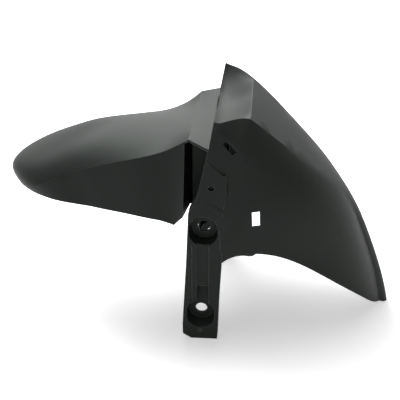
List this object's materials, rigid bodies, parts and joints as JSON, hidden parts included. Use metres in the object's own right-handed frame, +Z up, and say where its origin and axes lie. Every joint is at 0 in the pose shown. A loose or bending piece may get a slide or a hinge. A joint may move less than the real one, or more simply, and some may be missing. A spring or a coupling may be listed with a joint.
{
  "type": "motorcycle front mudguard",
  "caption": "One-piece moulded front mudguard with a domed nose, flared wings, a tapering tail and a bolt-on leg on each side.",
  "frame": {"origin": "on the floor, midway between nose and tail and between the two legs", "axes": "+X towards the tail (rear of the motorcycle), +Z up, -Y towards the rider's left; the piece is the same on both sides of Y = 0"},
  "size_m": [0.5833, 0.235, 0.3455],
  "materials": {
    "plastic": "unpainted black moulded plastic, fine satin grain"
  },
  "bodies": {
    "root": {"mudguard": "plastic"}
  },
  "joints": []
}
